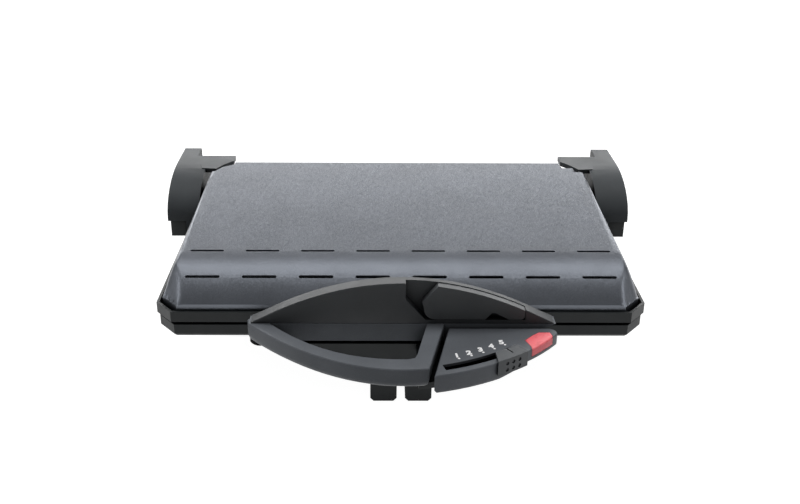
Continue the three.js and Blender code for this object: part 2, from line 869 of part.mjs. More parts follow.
function lidRows(gap, fine) {
  const front = lidFrontY + gap;
  const rear = lidRearY - gap;
  const steps = fine ? lidNoseSteps : lidInnerNoseSteps;
  const rows = [];
  for (let i = 0; i <= steps; i += 1) {
    rows.push(front + (lidBendY - front) * i / steps);
  }
  const shares = fine ? lidRowShares : lidInnerRowShares;
  return [...rows, ...shares.map((share) => lidBendY + (rear - lidBendY) * share)];
}

function lidSkin(gap, floorZ, fine) {
  const columns = lidColumns(gap, fine);
  const rows = lidRows(gap, fine);
  const positions = [];
  const index = [];
  const across = columns.length;
  const layer = across * rows.length;
  for (const level of ['top', 'bottom']) {
    for (const y of rows) {
      for (const x of columns) {
        const z = level === 'top' ? Math.max(lidHeight(x, y, gap), lidShoulder - gap) : floorZ;
        positions.push(x, y, z);
      }
    }
  }
  const quad = (a, b, c, d) => index.push(a, b, c, a, c, d);
  for (let j = 0; j + 1 < rows.length; j += 1) {
    for (let i = 0; i + 1 < across; i += 1) {
      const a = j * across + i;
      quad(a, a + 1, a + 1 + across, a + across);
      quad(layer + a, layer + a + across, layer + a + 1 + across, layer + a + 1);
    }
    const left = j * across;
    const right = left + across - 1;
    quad(left, left + across, layer + left + across, layer + left);
    quad(right, layer + right, layer + right + across, right + across);
  }
  for (let i = 0; i + 1 < across; i += 1) {
    const back = (rows.length - 1) * across + i;
    quad(i, layer + i, layer + i + 1, i + 1);
    quad(back, back + 1, layer + back + 1, layer + back);
  }
  const geometry = new THREE.BufferGeometry();
  geometry.setAttribute('position', new THREE.Float32BufferAttribute(positions, 3));
  geometry.setIndex(index);
  const plan = prismUp(lidOutline(gap), floorZ - overrun, lidBackHeight + overrun);
  return toSolid(geometry).intersect(plan);
}

function lidSlot(x, y) {
  const run = (slotLength - slotWidth) / 2;
  const outline = [
    ...arc(x + run, y, slotWidth / 2, -Math.PI / 2, Math.PI / 2, cornerSteps),
    ...arc(x - run, y, slotWidth / 2, Math.PI / 2, 3 * Math.PI / 2, cornerSteps),
  ];
  return prismUp(outline, lidShoulder, lidBackHeight + overrun);
}

function lidShell() {
  const skin = cut(lidSkin(0, lidBottom, true), lidSkin(lidSheet, lidBottom - overrun, false));
  const slots = [];
  for (const y of [upperSlotY, lowerSlotY]) {
    for (let i = 0; i < slotCount; i += 1) {
      slots.push(lidSlot((i - (slotCount - 1) / 2) * slotPitch, y));
    }
  }
  return cut(skin, ...slots);
}

// Lid frame: the upper rim, the flange under the shell and plate, and the tongue for the handle
function lidFrame() {
  const outer = rimOutline(rimHalfWidth, 0, rimDepth, rimChamferX, rimChamferY);
  const inner = inset(outer, rimWall);
  const wall = cut(
    prismUp(outer, upperRimBottom, upperRimTop),
    prismUp(inner, upperRimBottom + ledgeThickness, upperRimTop + overrun),
    prismUp(plateOutline(-seatGap), upperRimBottom - overrun, upperRimTop),
  );
  const tongue = box(
    -tongueHalfWidth, tongueHalfWidth, -tongueReach, rimWall / 2,
    upperRimBottom, upperRimBottom + tongueThickness,
  );
  const holes = [-1, 1].map((side) => screwUpHole(
    side * handleScrewX, -tongueReach / 2, upperRimBottom + seatGap, handleScrewLength,
  ));
  return cut(join(wall, tongue), ...holes, ...armScrewHoles());
}

// Grip: a flat loop with a rounded underside, a spoke and a rear wall below the fin
function gripCurve(x) {
  const share = x / handleHalfWidth;
  return -gripReach + (gripReach - noseReach) * share * share;
}

function gripOutline() {
  const spokeTopX = spokeLeftX + spokeWidth;
  const spokeFootX = spokeTopX - spokeSkew;
  const steps = 2 * arcSteps;
  const points = [];
  for (let i = 0; i <= steps; i += 1) {
    const x = -handleHalfWidth + (spokeFootX + handleHalfWidth) * i / steps;
    points.push(point(x, gripCurve(x)));
  }
  points.push(point(spokeTopX, finFrontY));
  points.push(point(spokeTopX, finRearY));
  points.push(point(-handleHalfWidth + gripEndTaper, finRearY));
  points.push(point(-handleHalfWidth - gripEndBulge, (finFrontY + finRearY) / 2));
  return points;
}

function gripHole() {
  const halfWidth = handleHalfWidth - gripBand - finEndInset;
  const depth = gripReach - gripBand;
  const rightX = spokeLeftX - spokeLeftSkew;
  const steps = arcSteps + 2;
  const points = [];
  for (let i = 0; i <= steps; i += 1) {
    const x = -halfWidth + (rightX - holeCorner + halfWidth) * i / steps;
    const share = Math.pow(Math.abs(x) / halfWidth, gripHolePower);
    points.push(point(x, -depth + (depth - noseReach) * share));
  }
  points.push(point(rightX - holeCorner / 4, -depth + holeCorner / 4));
  points.push(point(rightX, -depth + holeCorner));
  points.push(point(spokeLeftX, finFrontY));
  return points;
}

function handleGrip() {
  const outline = gripOutline();
  const body = loft([
    ...gripRoundShares.map((share) => ({
      outline: inset(outline, gripRound * share.inset),
      z: gripBottom + gripRound * share.rise,
    })),
    { outline, z: gripTop - gripEdge },
    { outline: inset(outline, gripEdge), z: gripTop },
  ]);
  const hole = prismUp(gripHole(), gripBottom - overrun, gripTop + overrun);
  const wall = prismBack([
    point(-noseTipHalfWidth, upperRimBottom + seatGap),
    point(noseTipHalfWidth, upperRimBottom + seatGap),
    point(noseRootHalfWidth, gripTop),
    point(-noseRootHalfWidth, gripTop),
  ], finFrontY, finRearY);
  const bridge = box(
    -tongueHalfWidth, tongueHalfWidth, finRearY, -seatGap,
    upperRimBottom + tongueThickness + seatGap, gripTop,
  );
  const ends = prismBack([
    point(-handleHalfWidth + gripBand, gripTop - gripRound),
    point(handleHalfWidth - gripBand, gripTop - gripRound),
    point(handleHalfWidth - gripEdge, gripTop),
    point(-handleHalfWidth + gripEdge, gripTop),
  ], finFrontY, finRearY);
  const trim = box(
    -handleHalfWidth, handleHalfWidth, finFrontY, finRearY + overrun,
    gripBottom - overrun, upperRimBottom + seatGap,
  );
  const holes = [-1, 1].map((side) => screwUpHole(
    side * handleScrewX, -tongueReach / 2, upperRimBottom + seatGap, handleScrewLength,
  ));
  return cut(join(cut(body, hole, trim), wall, bridge, ends), ...holes);
}

// Fin: an upright crescent with a pocket for the folding stand
function finCurve(x) {
  const share = x / (handleHalfWidth - finEndInset);
  return finTop - finHeight * share * share;
}

function finOutline(drop) {
  const half = handleHalfWidth - finEndInset;
  const steps = 3 * arcSteps;
  const points = [];
  for (let i = 1; i < steps; i += 1) {
    const x = half - 2 * half * i / steps;
    points.push(point(x, Math.max(finCurve(x) - drop, finBottom + finEdge)));
  }
  points.push(point(-half, finBottom + finEdge));
  points.push(point(-half, finBottom));
  points.push(point(half, finBottom));
  points.push(point(half, finBottom + finEdge));
  return points;
}

const turned = (p, angle) => point(
  standPivotX + (p.x - standPivotX) * Math.cos(angle) - (p.y - standPivotZ) * Math.sin(angle),
  standPivotZ + (p.x - standPivotX) * Math.sin(angle) + (p.y - standPivotZ) * Math.cos(angle),
);

// The slanted left face of the stand: where it leaves the heel and where it reaches the fin's top
function standFace() {
  const along = point(Math.cos(standFaceAngle), Math.sin(standFaceAngle));
  const out = point(-along.y, along.x);
  const at = (t) => point(
    standPivotX + out.x * standFaceOffset + along.x * t,
    standPivotZ + out.y * standFaceOffset + along.y * t,
  );
  let reach = 0;
  while (at(reach).y < finCurve(at(reach).x)) {
    reach += seatGap / 2;
  }
  return { low: at(-standHeel / 4), high: at(reach - seatGap / 2) };
}

function standOutline() {
  const face = standFace();
  const bottom = standPivotZ - standHeel;
  const tipX = standPivotX + standLength;
  const notch = tipX - standNotchInset - standNotchWidth / 2;
  const points = [
    point(standPivotX, bottom),
    point(notch, bottom),
    point(notch + standNotchWidth * standNotchRiseShare, bottom + standNotchHeight),
    point(notch + standNotchWidth * standNotchTopShare, bottom + standNotchHeight),
    point(notch + standNotchWidth, bottom),
    ...arc(tipX - standCorner, bottom + standCorner, standCorner, -Math.PI / 2, 0, cornerSteps),
  ];
  for (let i = 0; i <= arcSteps; i += 1) {
    const x = tipX + (face.high.x - tipX) * i / arcSteps;
    points.push(point(x, finCurve(x) - finEdge));
  }
  points.push(face.low);
  const from = Math.atan2(face.low.y - standPivotZ, face.low.x - standPivotX);
  const radius = face.low.distanceTo(point(standPivotX, standPivotZ));
  // Rounded so that the heel never sinks lower while the stand turns
  for (let i = 1; i < arcSteps; i += 1) {
    const angle = from + (1.5 * Math.PI - from) * i / arcSteps;
    const swing = Math.min(angle + standOpening, 1.5 * Math.PI);
    const size = Math.min(radius, -standHeel / Math.sin(swing));
    points.push(point(standPivotX + size * Math.cos(angle), standPivotZ + size * Math.sin(angle)));
  }
  return points;
}

// Pocket: room for the closed stand, and a slanted wall that stops the open one
function standPocket() {
  const face = standFace();
  const floor = standPivotZ - standHeel - standGap;
  const stopLow = turned(face.low, standOpening);
  const stopHigh = turned(face.high, standOpening);
  const down = point(stopLow.x - stopHigh.x, stopLow.y - stopHigh.y).normalize();
  const out = point(-down.y, down.x).multiplyScalar(-standGap);
  const reach = (stopLow.y - floor) / -down.y;
  const tipX = standPivotX + standLength + standGap;
  const leftX = stopHigh.x + out.x - standCorner;
  return prismBack([
    point(stopLow.x + out.x + down.x * reach, floor),
    point(tipX, floor),
    point(tipX, finTop + overrun),
    point(leftX, finTop + overrun),
    point(leftX, stopHigh.y + standCorner),
    point(stopHigh.x + out.x, stopHigh.y + out.y),
  ], finFrontY - overrun, finFrontY + standThickness + standGap);
}

function handleFin() {
  const plate = prismBack(finOutline(0), finFrontY + finEdge, finRearY - finEdge);
  const face = prismBack(finOutline(finEdge), finFrontY, finRearY);
  const bore = cylinderBack(
    standPivotX, standPivotZ, standPinRadius + seatGap, finFrontY - overrun, finRearY + overrun,
  );
  const headPocket = cylinderBack(
    standPivotX, standPivotZ, standPinHead + seatGap,
    finRearY - standPinHeadThickness - seatGap, finRearY + overrun,
  );
  return cut(join(plate, face), standPocket(), bore, headPocket);
}

function foldingStand() {
  const body = prismBack(standOutline(), finFrontY, finFrontY + standThickness);
  const bore = cylinderBack(
    standPivotX, standPivotZ, standPinRadius + seatGap,
    finFrontY + standPinCover, finFrontY + standThickness + overrun,
  );
  return cut(body, bore);
}

function standPin() {
  const shank = cylinderBack(
    standPivotX, standPivotZ, standPinRadius, finFrontY + standPinCover + seatGap, finRearY - finEdge,
  );
  const head = cylinderBack(
    standPivotX, standPivotZ, standPinHead, finRearY - standPinHeadThickness, finRearY,
  );
  return join(shank, head);
}

// Control panel: angles run from straight ahead towards the right, about the slider's centre
const polar = (radius, angle) => point(
  panelArcX + radius * Math.sin(angle),
  panelArcY - radius * Math.cos(angle),
);

function sector(inner, outer, from, to, outerFrom = from) {
  const points = [];
  for (let i = 0; i <= arcSteps; i += 1) {
    points.push(polar(outer, outerFrom + (to - outerFrom) * i / arcSteps));
  }
  for (let i = arcSteps; i >= 0; i -= 1) {
    points.push(polar(inner, from + (to - from) * i / arcSteps));
  }
  return points;
}

function panelOutline() {
  const from = Math.asin((panelFootX - panelArcX) / panelRadius);
  const to = Math.asin((panelEndX - panelArcX) / (panelRadius - panelEndRadius));
  const points = [];
  const steps = 1.5 * arcSteps;
  for (let i = 0; i < steps; i += 1) {
    points.push(polar(panelRadius, from + (to - from) * i / steps));
  }
  points.push(...arc(panelEndX, panelEndY, panelEndRadius, to - Math.PI / 2, Math.PI / 2));
  points.push(point(panelFootX + spokeSkew, panelRearY));
  return points;
}

// Space below the panel and the given lift, stepped up towards the round end
function underPanel(lift) {
  const startX = panelEndX - undersideStartInset;
  const riseX = panelEndX - undersideEndInset;
  const endX = panelEndX + gripReach;
  return prismBack([
    point(panelFootX - gripReach, panelBottom - overrun),
    point(endX, panelBottom - overrun),
    point(endX, panelBottom + undersideRise + lift),
    point(riseX, panelBottom + undersideRise + lift),
    point(startX, panelBottom + lift),
    point(panelFootX - gripReach, panelBottom + lift),
  ], -panelReach - overrun, panelRearY + overrun);
}

function panelBody() {
  const outline = panelOutline();
  const block = loft([
    { outline: inset(outline, panelRound), z: panelBottom },
    { outline: inset(outline, panelRound * panelRoundShare), z: panelBottom + panelRound * panelRoundShare },
    { outline, z: panelBottom + panelRound },
    { outline, z: panelTop - panelEdge },
    { outline: inset(outline, panelEdge), z: panelTop },
  ]);
  return cut(block, underPanel(0));
}

function sliderSlot(extra) {
  const outer = panelRadius - slotFrontLand;
  return sector(outer - sliderSlotWidth - extra, outer + extra, sliderSlotStart, sliderSlotEnd);
}

// Plan of the lamp window, open towards the round front of the panel
function lensPlan(gap) {
  const leftX = lensRightX - lensWidth;
  const rear = lensPlanShares.map((share) => point(
    leftX + lensWidth * share.along,
    lensRearY - lensWidth * share.back,
  ));
  return inset([point(rear.at(-1).x, -gripReach), point(lensRightX, -gripReach), ...rear], -gap);
}

function lensSolid(gap) {
  const block = prismUp(lensPlan(gap), panelTop - lensDrop - gap, panelTop + overrun);
  const inner = prismUp(
    inset(panelOutline(), lensThickness + gap), panelBottom - overrun, panelTop - lensThickness - gap,
  );
  return cut(panelBody().intersect(block), inner);
}

function controlPanel() {
  const hollow = prismUp(
    inset(panelOutline(), panelWall), panelBottom - overrun, panelTop - panelWall,
  );
  const slot = prismUp(sliderSlot(0), panelTop - panelWall - overrun, panelTop + overrun);
  return cut(panelBody(), hollow, slot, lensSolid(seatGap / 2));
}

function panelFloor() {
  const outline = inset(panelOutline(), panelWall + seatGap);
  return prismUp(outline, panelBottom, panelTop).intersect(underPanel(panelWall)).intersect(panelBody());
}

function knob() {
  const inner = sliderRadius - knobBack;
  const outer = panelRadius + knobOverhang;
  const half = knobLength / 2 / sliderRadius;
  const to = sliderRest + half;
  const start = (radius) => sliderRest - half - knobTaper / outer * (radius - inner) / (outer - inner);
  const top = panelTop + knobRise;
  const cap = prismUp(sector(inner, outer, start(inner), to, start(outer)), panelTop + seatGap, top);
  const skirtInner = panelRadius + seatGap;
  const skirt = prismUp(
    sector(skirtInner, outer, start(skirtInner), to, start(outer)), top - knobSkirt, top,
  );
  const stemHalf = carriageLength / 2 / sliderRadius;
  const stem = prismUp(
    sector(inner, sliderRadius + sliderSlotWidth / 2 - seatGap, sliderRest - stemHalf, sliderRest + stemHalf),
    panelTop - panelWall - seatGap, top,
  );
  const side = slitWidth / 2 / sliderRadius;
  const groove = prismUp([
    polar(outer - grooveLand, sliderRest - side),
    polar(outer - grooveLand, sliderRest + side),
    polar(inner - overrun, sliderRest + side),
    polar(inner - overrun, sliderRest - side),
  ], top - slitDepth, top + overrun);
  const dimples = [];
  const centre = (start(outer) + to) / 2;
  for (const row of [-1, 1]) {
    for (const column of [-1, 0, 1]) {
      const angle = centre + column * dimplePitch / outer;
      const at = polar(outer, angle);
      const pin = new THREE.CylinderGeometry(dimpleRadius, dimpleRadius, 2 * dimpleDepth, pipeSides);
      const z = top - knobSkirt / 2 - slitDepth / 2 + row * dimpleRowPitch / 2;
      const turn = new THREE.Matrix4().makeRotationZ(angle);
      turn.setPosition(at.x, at.y, z);
      pin.applyMatrix4(turn);
      dimples.push(toSolid(pin));
    }
  }
  return cut(join(cap, skirt, stem), groove, ...dimples);
}

function sliderCarriage() {
  const half = (carriageLength / 2 + seatGap) / sliderRadius;
  const inner = sliderRadius - sliderSlotWidth / 2 - carriageLap;
  const outer = panelRadius - panelWall - 2 * seatGap;
  const top = panelTop - panelWall - 2 * seatGap;
  return prismUp(sector(inner, outer, sliderRest - half, sliderRest + half), top - carriageHeight, top);
}

function regulator() {
  const floor = panelBottom + panelWall + seatGap;
  const inner = sliderRadius - sliderSlotWidth - regulatorMargin;
  const outer = panelRadius - panelWall - panelRound;
  return prismUp(sector(inner, outer, regulatorStart, regulatorEnd), floor, floor + regulatorHeight);
}

function lampHolder() {
  const x = lensRightX - lensWidth / 2;
  const y = lensRearY - lampSetback;
  const floor = panelBottom + undersideRise + panelWall + seatGap;
  return cylinderUp(x, y, lampRadius, floor, floor + lampLength);
}

// Hinge arms: a core that carries the shaft and a cover with the inward wing
function armProfile(skin) {
  const points = [];
  const front = armFrontY + skin;
  const top = armTop - skin;
  const rear = armRearY - skin;
  points.push(point(front, armBottom));
  points.push(point(hingeY - armLugRadius, armBottom));
  const lug = armLugRadius - skin;
  const start = Math.PI + Math.asin(Math.min((hingeZ - armBottom) / armLugRadius, 1));
  points.push(...arc(hingeY, hingeZ, lug, start, 2 * Math.PI));
  points.push(point(rear, hingeZ));
  points.push(point(rear, top - armRearChamfer));
  points.push(point(rear - armRearChamfer, top));
  for (let i = 0; i <= arcSteps; i += 1) {
    const angle = Math.PI / 2 + Math.PI / 2 * i / arcSteps;
    points.push(point(
      rimDepth + (rimDepth - front) * Math.cos(angle),
      armShoulder + (top - armShoulder) * Math.sin(angle),
    ));
  }
  return points;
}

// A long column of space above or below a height
const slab = (x0, x1, z0, z1) => box(x0, x1, 0, armRearY + armOuterX, z0, z1);

function armCore() {
  const core = prismAcross(armProfile(armSkin + seatGap), armCoreX, armOuterX - armSkin - seatGap);
  const bore = cylinderAcross(
    hingeY, hingeZ, shaftRadius + shaftClearance, rimHalfWidth - overrun, armOuterX - 2 * armSkin,
  );
  return cut(core, bore, ...armScrewHoles());
}

function wing() {
  const tipX = rimHalfWidth - wingTipInset;
  const tipY = rimDepth + wingFrontReach;
  const waistX = rimHalfWidth - wingWaistInset;
  const waistY = rimDepth - wingWaistSetback;
  const outline = [
    point(tipX, tipY),
    point((tipX + waistX) / 2 + armSkin, (tipY + waistY) / 2),
    point(waistX, waistY),
    point(armInnerX + overrun, waistY + armSkin),
    point(rimHalfWidth, wingBackY),
    point(tipX, wingBackY),
  ];
  return prismUp(outline, armTop - wingThickness, armTop);
}

// The space that the slanted side of the lid takes up, with the clearance to the arm cover
function lidSideRoom() {
  const sideX = lidHalfWidth + armLidGap;
  return prismBack([
    point(0, 0),
    point(sideX, 0),
    point(sideX, lidShoulder),
    point(armInnerX, armKneeHeight),
    point(0, armKneeHeight),
  ], 0, armRearY + overrun);
}

function armCover() {
  const outer = prismAcross(armProfile(0), armInnerX, armOuterX);
  const low = slab(rimHalfWidth, armOuterX + overrun, 0, armCoverBottom);
  const lowInner = slab(0, armOuterX, 0, upperRimTop + seatGap);
  const rearNotch = box(
    armInnerX - overrun, armCoreX, wingBackY, armRearY + overrun, 0, armTop + overrun,
  );
  const hollow = prismAcross(
    armProfile(armSkin), rimHalfWidth - overrun / 2, armOuterX - armSkin,
  ).intersect(slab(0, armOuterX, armCoverBottom - overrun, armTop));
  const innerHollow = prismAcross(
    armProfile(2 * armSkin), armInnerX + armSkin, rimHalfWidth,
  ).intersect(slab(0, rimHalfWidth, armKneeHeight + armSkin, armTop));
  const bracketRoom = cylinderAcross(hingeY, hingeZ, bracketRoomRadius, 0, armCoreX, 2 * roundSteps);
  return join(
    cut(outer, low, lowInner, lidSideRoom(), rearNotch, hollow, innerHollow, bracketRoom),
    wing(),
  );
}

function armScrewHole(y) {
  const z = upperRimBottom + upperRimHeight - screwRadius - 2 * seatGap;
  return cylinderAcross(
    y, z, screwRadius + seatGap / 2, rimHalfWidth - rimWall / 2, armOuterX, pipeSides,
  );
}

function armScrewHoles() {
  return [armScrewY, armScrewY + armScrewPitch].flatMap((y) => {
    const hole = armScrewHole(y);
    return [hole, mirror(hole)];
  });
}

function armScrew(y) {
  const z = upperRimBottom + upperRimHeight - screwRadius - 2 * seatGap;
  return cylinderAcross(
    y, z, screwRadius, rimHalfWidth - rimWall / 2 + seatGap, rimHalfWidth + armScrewLength, pipeSides,
  );
}

// Fixed brackets with upright slots, and the bearing blocks that float in them
function bracketProfile() {
  const radius = blockHalfHeight + floatTravel + bracketCrown;
  return [
    point(rimDepth + seatGap, bracketFloor),
    point(rimDepth + seatGap + bracketNeck, bracketFloor),
    point(rimDepth + seatGap + bracketNeck, hingeZ - bracketRoomRadius + bracketElbow),
    point(hingeY + blockHalfDepth + bracketCrown, hingeZ - blockHalfHeight - bracketCrown),
    point(hingeY + blockHalfDepth + bracketCrown, hingeZ + floatTravel),
    ...arc(hingeY, hingeZ + floatTravel, blockHalfDepth + bracketCrown, 0, Math.PI),
    point(hingeY - blockHalfDepth - bracketCrown, hingeZ - radius / 2),
    point(rimDepth + seatGap, hingeZ - radius),
  ];
}

function hingeBracket() {
  const plate = prismAcross(bracketProfile(), bracketInnerX, bracketOuterX);
  const slot = box(
    bracketInnerX - overrun, bracketOuterX + overrun,
    hingeY - blockHalfDepth - seatGap, hingeY + blockHalfDepth + seatGap,
    hingeZ - blockHalfHeight - seatGap, hingeZ + blockHalfHeight + floatTravel + seatGap,
  );
  return cut(plate, slot, ...bracketScrewHoles());
}

function bracketScrewPlaces() {
  const z = bracketFloor + bracketScrewRise;
  return [z - bracketScrewPitch / 4, z + bracketScrewPitch / 2];
}

function bracketScrewHoles() {
  const x = (bracketInnerX + bracketOuterX) / 2;
  return bracketScrewPlaces().flatMap((z) => {
    const hole = cylinderBack(
      x, z, screwRadius + seatGap / 2, rimDepth - 2 * bracketScrewLength,
      rimDepth + seatGap + bracketNeck + overrun, pipeSides,
    );
    const pocket = cylinderBack(
      x, z, screwHeadRadius + seatGap, rimDepth + seatGap + bracketNeck,
      rimDepth + seatGap + 2 * bracketNeck,
    );
    const bore = join(hole, pocket);
    return [bore, mirror(bore)];
  });
}

function bracketScrew(z) {
  const x = (bracketInnerX + bracketOuterX) / 2;
  const rear = rimDepth + seatGap + bracketNeck;
  const shank = cylinderBack(
    x, z, screwRadius, rimDepth - bracketScrewLength, rear + seatGap + screwHeadHeight / 2, pipeSides,
  );
  const head = cylinderBack(x, z, screwHeadRadius, rear + seatGap, rear + seatGap + screwHeadHeight);
  return join(shank, head);
}

function hingeBlock() {
  const block = box(
    bracketInnerX, bracketOuterX, hingeY - blockHalfDepth, hingeY + blockHalfDepth,
    hingeZ - blockHalfHeight, hingeZ + blockHalfHeight,
  );
  const bore = cylinderAcross(
    hingeY, hingeZ, shaftRadius + shaftClearance, bracketInnerX - overrun, bracketOuterX + overrun,
  );
  return cut(block, bore);
}

function hingeShaft() {
  const end = armOuterX - 2 * armSkin - seatGap;
  return cylinderAcross(hingeY, hingeZ, shaftRadius, -end, end);
}

// Cord inlet with a bore, and the terminal block behind it
function cordInlet() {
  const rear = rimDepth + inletReach;
  const tube = cylinderBack(inletX, inletHeight, inletRadius, rimDepth - terminalDepth, rear);
  const flange = cylinderBack(
    inletX, inletHeight, inletFlangeRadius, rimDepth + seatGap, rimDepth + seatGap + inletFlange,
  );
  const bore = cylinderBack(
    inletX, inletHeight, inletBore, rimDepth - terminalDepth - overrun, rear + overrun,
  );
  return cut(join(tube, flange), bore);
}

function terminalBlock() {
  const floor = coverHeight + coverThickness + seatGap;
  const rear = rimDepth - terminalDepth - overrun;
  return box(
    inletX - terminalWidth, inletX, rear - 2 * terminalDepth, rear - terminalDepth, floor, floor + terminalHeight,
  );
}

function plateClip(side) {
  const edge = baseHalfWidth - plateInset + seatGap;
  const middle = rimDepth / 2;
  const floor = ledgeHeight + ledgeThickness + seatGap;
  const top = lowerPlateBottom + plateThickness + ribHeight / 2 + seatGap;
  const post = box(
    edge, edge + clipThickness, middle - clipWidth / 2, middle + clipWidth / 2, floor, top + clipThickness,
  );
  const lip = box(
    edge - ribTop, edge + clipReach, middle - clipWidth / 2, middle + clipWidth / 2, top, top + clipThickness,
  );
  const clip = join(post, lip);
  return side < 0 ? mirror(clip) : clip;
}

// Base
addPart('base_housing', baseHousing(), darkPlastic());
addPart('bottom_cover', bottomCover(), darkPlastic());
for (const [place, x, y] of [
  ['front_left', -footX, footFrontY],
  ['front_right', footX, footFrontY],
  ['rear_left', -footX, footRearY],
  ['rear_right', footX, footRearY],
]) {
  addPart(`rubber_foot_${place}`, rubberFoot().translate([x, y, 0]), blackRubber());
}
coverScrewPlaces().forEach(([x, y], i) => {
  const screw = screwUp(x, y, coverHeight + seatGap, coverScrewLength - seatGap);
  addPart(`cover_screw_${i + 1}`, screw, steel());
});
addPart('front_leg_left', frontLeg(-1), darkPlastic());
addPart('front_leg_right', frontLeg(1), darkPlastic());
addPart('lower_plate', cookingPlate(lowerPlateBottom, 1), coatedAluminium());
addPart('plate_clip_left', plateClip(-1), steel());
addPart('plate_clip_right', plateClip(1), steel());
addPart('lower_heater', heater(lowerPlateBottom - seatGap - heaterRadius), steel());
addPart('lower_reflector', reflector(ledgeHeight - seatGap, -1), zinc());
addPart('terminal_block', terminalBlock(), paleCeramic());
addPart('cord_inlet', cordInlet(), blackRubber());

// Control panel
addPart('control_panel', controlPanel(), greyPlastic());
addPart('panel_floor', panelFloor(), darkPlastic());
addPart('temperature_regulator', regulator(), innerPlastic());
addPart('lamp_holder', lampHolder(), paleCeramic());
addPart('lamp_lens', lensSolid(0), redLens());
addPart('slider_carriage', sliderCarriage(), innerPlastic());
addPart('slider_knob', knob(), greyPlastic());

// Hinge
addPart('hinge_bracket_right', hingeBracket(), zinc());
addPart('hinge_bracket_left', mirror(hingeBracket()), zinc());
bracketScrewPlaces().forEach((z, i) => {
  addPart(`bracket_screw_right_${i + 1}`, bracketScrew(z), steel());
  addPart(`bracket_screw_left_${i + 1}`, mirror(bracketScrew(z)), steel());
});
addPart('hinge_block_right', hingeBlock(), innerPlastic());
addPart('hinge_block_left', mirror(hingeBlock()), innerPlastic());
addPart('hinge_shaft', hingeShaft(), steel());
addPart('arm_core_right', armCore(), darkPlastic());
addPart('arm_core_left', mirror(armCore()), darkPlastic());
addPart('arm_cover_right', armCover(), greyPlastic());
addPart('arm_cover_left', mirror(armCover()), greyPlastic());
[armScrewY, armScrewY + armScrewPitch].forEach((y, i) => {
  addPart(`arm_screw_right_${i + 1}`, armScrew(y), steel());
  addPart(`arm_screw_left_${i + 1}`, mirror(armScrew(y)), steel());
});

// Lid
addPart('lid_shell', lidShell(), shellPaint());
addPart('lid_frame', lidFrame(), darkPlastic());
addPart('upper_plate', cookingPlate(upperPlateBottom + plateThickness, -1), coatedAluminium());
addPart('upper_heater', heater(upperPlateBottom + plateThickness + seatGap + heaterRadius), steel());
addPart('upper_reflector', reflector(upperPlateBottom + plateThickness + seatGap, 1), zinc());
addPart('handle_grip', handleGrip(), greyPlastic());
addPart('handle_fin', handleFin(), darkPlastic());
for (const [place, side] of [['left', -1], ['right', 1]]) {
  addPart(`handle_screw_${place}`, screwUp(
    side * handleScrewX, -tongueReach / 2, upperRimBottom + seatGap, handleScrewLength - seatGap,
  ), steel());
}
addPart('stand_pin', standPin(), steel());
addPart('folding_stand', foldingStand(), darkPlastic());

grill.position.y = originY;

export default grill;
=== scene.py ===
"""Looks of the contact grill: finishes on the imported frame, printed scale marks, pale studio, camera."""
import math

import bpy
from mathutils import Matrix, Vector


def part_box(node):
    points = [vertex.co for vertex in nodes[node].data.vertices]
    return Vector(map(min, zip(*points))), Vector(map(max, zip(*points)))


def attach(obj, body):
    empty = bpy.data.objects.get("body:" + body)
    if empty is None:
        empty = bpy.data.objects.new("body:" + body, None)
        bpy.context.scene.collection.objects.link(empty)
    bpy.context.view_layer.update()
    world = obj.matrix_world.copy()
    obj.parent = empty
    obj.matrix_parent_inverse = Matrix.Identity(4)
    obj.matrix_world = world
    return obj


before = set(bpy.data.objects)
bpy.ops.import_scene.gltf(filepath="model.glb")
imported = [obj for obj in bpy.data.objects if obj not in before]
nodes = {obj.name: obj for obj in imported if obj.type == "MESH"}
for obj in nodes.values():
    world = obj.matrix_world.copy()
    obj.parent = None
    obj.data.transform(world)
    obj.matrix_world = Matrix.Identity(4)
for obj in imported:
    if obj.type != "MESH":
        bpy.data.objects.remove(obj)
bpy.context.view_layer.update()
MM = 0.001

# Camera, in the frame's metres and degrees
IMAGE_WIDTH = 800
PRINCIPAL_X = 386.5
SENSOR_MM = 36
LENS_MM = 44.91
CAMERA_PLACE = (-0.01796, -0.73018, 0.41767)
CAMERA_DOWN = 24.602
CAMERA_RIGHT = 0.573
CAMERA_ROLL = 0.378
CAMERA_NEAR = 0.01

# Colours as they are seen, from 0 to 1
LID_GREY = (0.4, 0.415, 0.441)
ARM_GREY = (0.29, 0.303, 0.313)
GRIP_GREY = (0.395, 0.41, 0.43)
PANEL_GREY = (0.36, 0.375, 0.395)
DARK_GREY = (0.115, 0.13, 0.135)
KNOB_GREY = (0.31, 0.322, 0.335)
FIN_GREY = (0.22, 0.23, 0.24)
STAND_GREY = (0.31, 0.32, 0.328)
RUBBER_BLACK = (0.055, 0.057, 0.06)
COATING = (0.12, 0.122, 0.13)
STEEL = (0.62, 0.63, 0.65)
ZINC = (0.52, 0.53, 0.54)
# Light pink of the lamp lens: painted glow
LENS_PAINTED_GLOW = (1.0, 0.46, 0.49)
LENS_DEEP = (0.72, 0.13, 0.17)
CERAMIC = (0.85, 0.83, 0.78)
INNER_BLACK = (0.06, 0.06, 0.065)
ENAMEL_BLACK = (0.03, 0.03, 0.033)
# Black of the hinge brackets: painted shade under the hinge arms
BRACKET_SHADE_BLACK = (0.075, 0.078, 0.082)
PRINT_WHITE = (0.99, 0.99, 0.99)
FLOOR_WHITE = (0.62, 0.62, 0.62)
